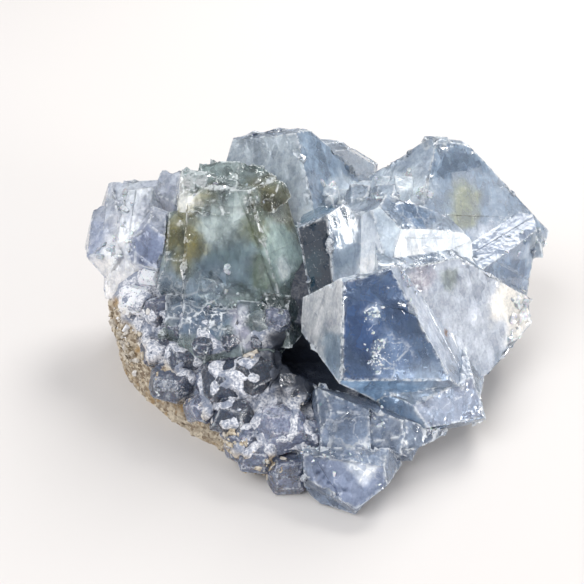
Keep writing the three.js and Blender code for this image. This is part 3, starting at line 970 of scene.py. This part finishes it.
left_group, left_ways = big_crystals(
    "left_crystal_group",
    "left_crystals",
    "pale_celestite",
    0.85 * MM * COARSE,
    GROWTH_LINE,
    rough=[((-49, 17, 33), 6)],
)
tint(
    left_group.data,
    left_ways,
    ("c4cbd8", 0.7, 0.0),
    [
        ((-58, 22, 34), 8, "b0bbd3", 0.7, 0.0),
        ((-49, 18, 35), 9, "e4e6ea", 0.95, 0.0),
        ((-46, 12, 28), 9, "e6e5e6", 1.0, 0.3),
        ((-54, 15, 27), 7, "eae8e7", 1.0, 0.5),
        ((-49, 30, 46), 7, "dbe2ea", 0.7, 0.0),
        ((-42, 15, 37), 8, "95a3c3", 0.65, 0.0),
    ],
)
left_group.data.materials.append(crystal_material("pale_celestite", (0.70, 0.75, 0.93, 1), 20.0))


# ---------------------------------------------------------------- front crystals
# A bright clouded celestite crystal at the foot of the specimen, and the small blocks that grew behind it, up
# to the lip of the big ones.

front_group, front_ways = big_crystals(
    "front_crystal_group",
    "front_crystals",
    "front_celestite",
    0.75 * MM * COARSE,
    GROWTH_LINE,
    named=[((-6, 46), (-1, -34, 12), (5, -41, 6), -0.9)],
    rough=[((2, -31, 13), 4), ((27, -24, 10), 4)],
    cuts=[((14.8, -24, 16.3), (145, 55))],
    pulls=[
        ((26.4, -26.6, 1.6), (20.6, -27.4, 2.6)),
        ((11.0, -43.9, 3.8), (8.4, -43.0, 4.8)),
        ((11.1, -43.6, 1.0), (8.6, -41.4, 1.0)),
        ((-4.8, -35.1, 1.0), (-3.0, -34.6, 1.6)),
    ],
)
tint(
    front_group.data,
    front_ways,
    ("91a0b6", 0.65, 0.2),
    [
        ((7, -36, 8), 16, "98a4bf", 0.8, 0.05, (-6, 46)),
        ((10, -33, 11), 5, "dfe4ee", 0.9, 0.9, (-6, 46)),
        # a dark crack across its face
        ((-2.1, -36.3, 9.8), 0.9, "3f4c68", 1.0, 0.0, (-6, 46)),
        ((-0.3, -37.2, 9.1), 0.9, "3f4c68", 1.0, 0.0, (-6, 46)),
        ((1.5, -38.2, 8.3), 1.0, "3f4c68", 1.0, 0.0, (-6, 46)),
        ((3.3, -39.3, 7.4), 0.9, "3f4c68", 1.0, 0.0, (-6, 46)),
        ((5.1, -40.1, 6.8), 0.8, "3f4c68", 1.0, 0.0, (-6, 46)),
        ((7, -28, 15), 9, "8c9db7", 0.7, 0.5),
        ((18, -26, 14), 6, "95a4bb", 0.7, 0.4),
    ],
)
front_group.data.materials.append(crystal_material("front_celestite", (0.62, 0.74, 0.95, 1), 20.0))


# ---------------------------------------------------------------- splinters
# Broken bits of celestite and young crystals, a quarter of a millimetre to three and a half, that stuck to
# the faces of each group: clear or sugar white.

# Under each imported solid: the middle of a cluster, its spread, how many, smallest, largest, whiteness.
SPLINTERS = {
    "main_crystal_group": [
        ((4, 26, 46), 4.0, 16, 0.9, 3.4, 0.5),
        ((10, 31, 42), 3.0, 8, 0.9, 2.6, 0.6),
        ((17, 31, 46), 3.5, 10, 0.8, 2.8, 0.8),
        ((22, 26, 49), 3.5, 14, 0.8, 2.8, 0.9),
        ((27, 19, 50), 3.0, 8, 0.8, 2.6, 0.8),
        ((15, 13, 54), 3.0, 8, 0.7, 2.4, 0.7),
        ((12.8, -14, 38.3), 2.2, 26, 0.25, 0.8, 1.0),
        ((13.8, -17.2, 31.3), 2.0, 26, 0.25, 0.8, 1.0),
        ((14, -19, 27.4), 2.2, 22, 0.25, 0.7, 1.0),
        ((53, 19, 35), 6.0, 8, 0.3, 0.9, 0.9),
        ((60, 28, 31), 4.0, 10, 0.8, 2.6, 0.6),
        ((55, 10, 22), 4.0, 12, 0.8, 3.0, 0.8),
        ((52, 5, 16), 3.0, 8, 0.8, 2.6, 0.8),
        ((21, -6, 42), 4.0, 12, 0.4, 1.4, 0.4),
    ],
    "green_crystal": [
        ((-28, 13, 54), 5.0, 6, 0.5, 1.6, 0.4),
        ((-20, 13, 55), 5.0, 6, 0.5, 1.6, 0.4),
        ((-13, 13, 53), 3.0, 4, 0.5, 1.4, 0.4),
        ((-21, -1, 32), 6.0, 22, 0.3, 1.3, 0.9),
        ((-22, 3, 39), 0.6, 3, 1.2, 1.8, 1.0),
        ((-12, -3, 32), 5.0, 16, 0.3, 1.3, 0.9),
    ],
    "left_crystal_group": [
        ((-49, 18, 36), 5.0, 18, 0.6, 2.4, 0.9),
        ((-50, 27, 43), 4.0, 8, 0.8, 2.4, 0.6),
        ((-55, 20, 33), 4.0, 8, 0.8, 2.4, 0.6),
    ],
    "front_crystal_group": [
        ((1, -31, 13), 5.0, 14, 0.3, 1.1, 0.9),
        ((10, -33, 11), 4.0, 10, 0.25, 0.8, 0.8),
        ((14, -24, 13), 4.0, 12, 0.3, 1.2, 0.8),
        ((27, -24, 10), 4.0, 12, 0.4, 1.6, 0.6),
    ],
}


def splinter_shapes(count):
    """Unit crystals, each a block with a few skew faces cut across it."""
    shapes = []
    for _ in range(count):
        bm = bmesh.new()
        bmesh.ops.create_cube(bm, size=1)
        bmesh.ops.scale(bm, vec=(1.5, chance.uniform(0.6, 1.0), chance.uniform(0.4, 0.8)), verts=bm.verts)
        skew = [Vector([chance.uniform(-1, 1) for _ in "xyz"]).normalized() for _ in range(6)]
        cut_to(bm, Vector(), [(way, chance.uniform(0.26, 0.5)) for way in skew])
        shape = bpy.data.meshes.new("splinter_shape")
        bm.to_mesh(shape)
        bm.free()
        shapes.append(shape)
    return shapes


def splinters(node, name, slot, rows, shapes):
    """Shapes strewn about each row's middle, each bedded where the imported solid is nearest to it."""
    ground = surface_of(node)
    joined = bmesh.new()
    whites = []
    for middle, spread, count, smallest, largest, white in rows:
        for _ in range(count):
            aim = place(*middle) + Vector([chance.gauss(0, spread / 2) for _ in "xyz"]) * MM
            spot, normal, *_ = ground.find_nearest(aim)
            size = (smallest + (largest - smallest) * chance.random() ** 2) * MM
            lean = Euler((chance.gauss(0, 0.4), 0, chance.random() * 6)).to_matrix()
            stand = normal.to_track_quat("Z", "Y").to_matrix() @ lean
            bm = bmesh.new()
            bm.from_mesh(chance.choice(shapes))
            bedded = spot + normal * (0.25 * MM - 0.08 * size)
            settle = Matrix.Translation(bedded) @ stand.to_4x4() @ Matrix.Scale(size, 4)
            bmesh.ops.transform(bm, matrix=settle, verts=bm.verts)
            below = min(0, min(vert.co.z for vert in bm.verts))
            bmesh.ops.translate(bm, vec=(0, 0, -below), verts=bm.verts)
            whites += [min(1.0, max(0.0, white + chance.gauss(0, 0.2)))] * len(bm.verts)
            add_to(joined, bm)
    return piece_from(joined, name, node, slot, white=whites)


def splinter_material():
    made, wire = material("splinters")
    white = wire.stored("white")
    cloud = wire.cloud(1.2, detail=4)
    bumps = cloud.bumps(0.06, 0.4)
    cloudy = dict(
        Base_Color=white.tinted("a9bccf", "f6f8fa"),
        Roughness=0.25,
        Subsurface_Weight=0.3,
        Subsurface_Scale=1 * MM,
        Normal=bumps,
    )
    clear = dict(Base_Color=(0.9, 0.94, 0.97, 1), Roughness=0.04, Normal=bumps)
    celestite(wire, white * 0.55 + cloud.between(0.4, 0.7) * 0.4, cloudy, clear)
    return made


shapes = splinter_shapes(9)
sparkle = splinter_material()
for node, slot in (
    ("main_crystal_group", "blue_celestite"),
    ("green_crystal", "green_celestite"),
    ("left_crystal_group", "pale_celestite"),
    ("front_crystal_group", "front_celestite"),
):
    piece = splinters(node, node.split("_")[0] + "_splinters", slot, SPLINTERS[node], shapes)
    piece.data.materials.append(sparkle)


# ---------------------------------------------------------------- grit
# Tan limestone grains, half a millimetre to two, that broke off the rock and lodged in its rind and along its
# bare side. They have the splinters' shapes.

# The same rows as the splinters' have.
GRIT = [
    ((-16, -10.5, 23), 1.6, 26, 0.6, 2.2, 0.2),
    ((-10, -24, 16), 3.0, 10, 0.4, 1.6, 0.2),
    ((-4, -22, 16), 2.5, 6, 0.4, 1.4, 0.4),
    ((-32, -15, 16), 3.5, 8, 0.4, 1.5, 0.1),
    ((-36, -8, 20), 3.5, 8, 0.4, 1.3, 0.5),
    ((-20, -26, 9), 5.0, 60, 0.4, 1.8, 0.1),
    ((-40, -8, 12), 6.0, 70, 0.4, 2.0, 0.1),
    ((-50, 4, 14), 7.0, 90, 0.4, 2.2, 0.1),
    ((-12, -31, 6), 4.0, 40, 0.4, 1.6, 0.2),
    ((-48, 4, 25), 6.0, 60, 0.4, 1.8, 0.9),
]


def grit_material():
    made, wire = material("grit")
    grain = wire.cloud(0.9, detail=4)
    tan = grain.between(0.35, 0.65).tinted("857660", "cfc4b0")
    colour = wire.stored("white").tinted(tan, "eeeef0")
    shader = wire.node("BsdfPrincipled", Base_Color=colour, Roughness=0.8, Normal=grain.bumps(0.1, 0.6))
    wire.node("OutputMaterial", Surface=shader)
    return made


grit = splinters("matrix_rock", "grit", "matrix", GRIT, shapes)
grit.data.materials.append(grit_material())
for shape in shapes:
    bpy.data.meshes.remove(shape)


# ---------------------------------------------------------------- floor, light and camera
# A plain pale floor, and three round lamps: a low one at the right, one behind, and a broad one at the left
# front. The camera looks down on the specimen from the front.

FLOOR_REACH = 12.0  # metres, well past what the camera sees
TARGET = place(-6, 0, 34)
EYE_DISTANCE = 200 * MM

scene = bpy.context.scene
bm = bmesh.new()
bmesh.ops.create_grid(bm, x_segments=1, y_segments=1, size=FLOOR_REACH)
mesh = bpy.data.meshes.new("floor")
bm.to_mesh(mesh)
bm.free()
floor = bpy.data.objects.new("floor", mesh)
scene.collection.objects.link(floor)
floor_paint, wire = material("floor")
wire.node("OutputMaterial", Surface=wire.node("BsdfPrincipled", Base_Color="d7d3d0", Roughness=0.9))
mesh.materials.append(floor_paint)


def softbox(name, azimuth, elevation, distance, width, power, colour):
    """A round lamp that faces the specimen: its distance and width in metres, its power in watts."""
    data = bpy.data.lights.new(name, "AREA")
    data.shape = "DISK"
    data.size = width
    data.energy = power
    data.color = colour
    lamp = bpy.data.objects.new(name, data)
    out = facing(azimuth, elevation)
    lamp.location = TARGET + out * distance
    lamp.rotation_euler = out.to_track_quat("Z", "Y").to_euler()
    scene.collection.objects.link(lamp)


softbox("window", 61, 8, 0.9, 0.3, 5.0, (1.0, 0.99, 0.97))
softbox("back", 150, 45, 0.9, 0.5, 6.0, (1.0, 0.99, 0.97))
softbox("front", -55, 50, 1.0, 0.7, 6.1, (0.96, 0.98, 1.0))

world = bpy.data.worlds.new("studio")
world.use_nodes = True
world.node_tree.nodes["Background"].inputs["Color"].default_value = (0.95, 0.96, 1.0, 1)
world.node_tree.nodes["Background"].inputs["Strength"].default_value = 0.53
scene.world = world

camera_data = bpy.data.cameras.new("camera")
camera_data.lens = 50
camera_data.sensor_width = 36
camera_data.clip_start = 0.01
camera = bpy.data.objects.new("camera", camera_data)
outward = facing(0, EYE_ELEVATION)
camera.location = TARGET + outward * EYE_DISTANCE
camera.rotation_euler = outward.to_track_quat("Z", "Y").to_euler()
scene.collection.objects.link(camera)
scene.camera = camera

scene.view_settings.view_transform = "Standard"
scene.cycles.use_denoising = True
scene.cycles.max_bounces = 12
scene.cycles.transmission_bounces = 10
scene.cycles.glossy_bounces = 6
